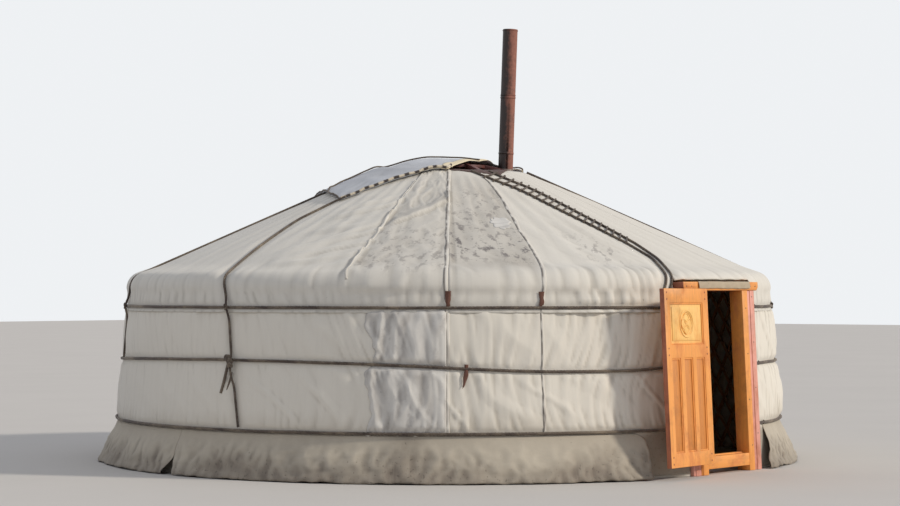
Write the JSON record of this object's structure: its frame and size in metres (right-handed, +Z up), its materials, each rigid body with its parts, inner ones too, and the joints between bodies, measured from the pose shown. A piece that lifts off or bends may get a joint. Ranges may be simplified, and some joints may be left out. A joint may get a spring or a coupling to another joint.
{
  "type": "yurt",
  "caption": "Round felt tent with a canvas cover tied by ropes, a pole roof with an open crown and smoke pipe, and a low panelled wooden door standing open.",
  "frame": {"origin": "tent axis at ground level, the centre of the base", "axes": "+Z up along the tent axis, the door faces -Y, +X to the right of someone outside who faces the door"},
  "size_m": [6.5118, 6.5307, 4.0606],
  "materials": {
    "lath_wood": "rubbed",
    "pole_wood": "painted",
    "crown_wood": "painted",
    "orange_paint": "painted, worn",
    "pink_paint": "painted, faded",
    "hinge_iron": "dark",
    "felt": "matted wool",
    "canvas": "weathered, dirty",
    "flap_canvas": "weathered",
    "apron_canvas": "matt",
    "skirt_canvas": "weathered, muddy",
    "hair_rope": "twisted hair",
    "pipe_iron": "rusted",
    "collar_iron": "sooty"
  },
  "bodies": {
    "tent": {"lattice_1": "lath_wood", "lattice_2": "lath_wood", "lattice_3": "lath_wood", "lattice_4": "lath_wood", "lattice_5": "lath_wood", "roof_poles": "pole_wood", "crown_rim": "crown_wood", "crown_spokes": "crown_wood", "crown_posts": "crown_wood", "jambs": "orange_paint", "casings": "pink_paint", "lintel": "orange_paint", "threshold": "orange_paint", "hinge_pins": "hinge_iron", "door_apron": "apron_canvas", "wall_felt_1": "felt", "wall_felt_2": "felt", "wall_felt_3": "felt", "wall_felt_4": "felt", "wall_canvas_1": "canvas", "wall_canvas_2": "canvas", "wall_canvas_3": "canvas", "wall_canvas_4": "canvas", "roof_felt_1": "felt", "roof_felt_2": "felt", "roof_canvas_1": "canvas", "roof_canvas_2": "canvas", "roof_canvas_3": "canvas", "roof_canvas_4": "canvas", "crown_flap": "flap_canvas", "skirt_left": "skirt_canvas", "skirt_back": "skirt_canvas", "skirt_right": "skirt_canvas", "girth_ropes": "hair_rope", "tie_rope_left": "hair_rope", "rope_tail": "hair_rope", "tie_rope_right": "hair_rope", "tie_rope_back": "hair_rope", "lacing_ropes": "hair_rope", "stove_pipe": "pipe_iron", "pipe_collar": "collar_iron"},
    "door": {"leaf_frame": "orange_paint", "leaf_panels": "orange_paint", "leaf_hinges": "hinge_iron"}
  },
  "joints": [
    {"name": "door_hinge", "type": "hinge", "parent": "tent", "child": "door", "pos_m": [-0.379, -3.13986, 0.80161], "axis": [0, 0.0523, 0.9986], "range_deg": [0, 176]}
  ]
}
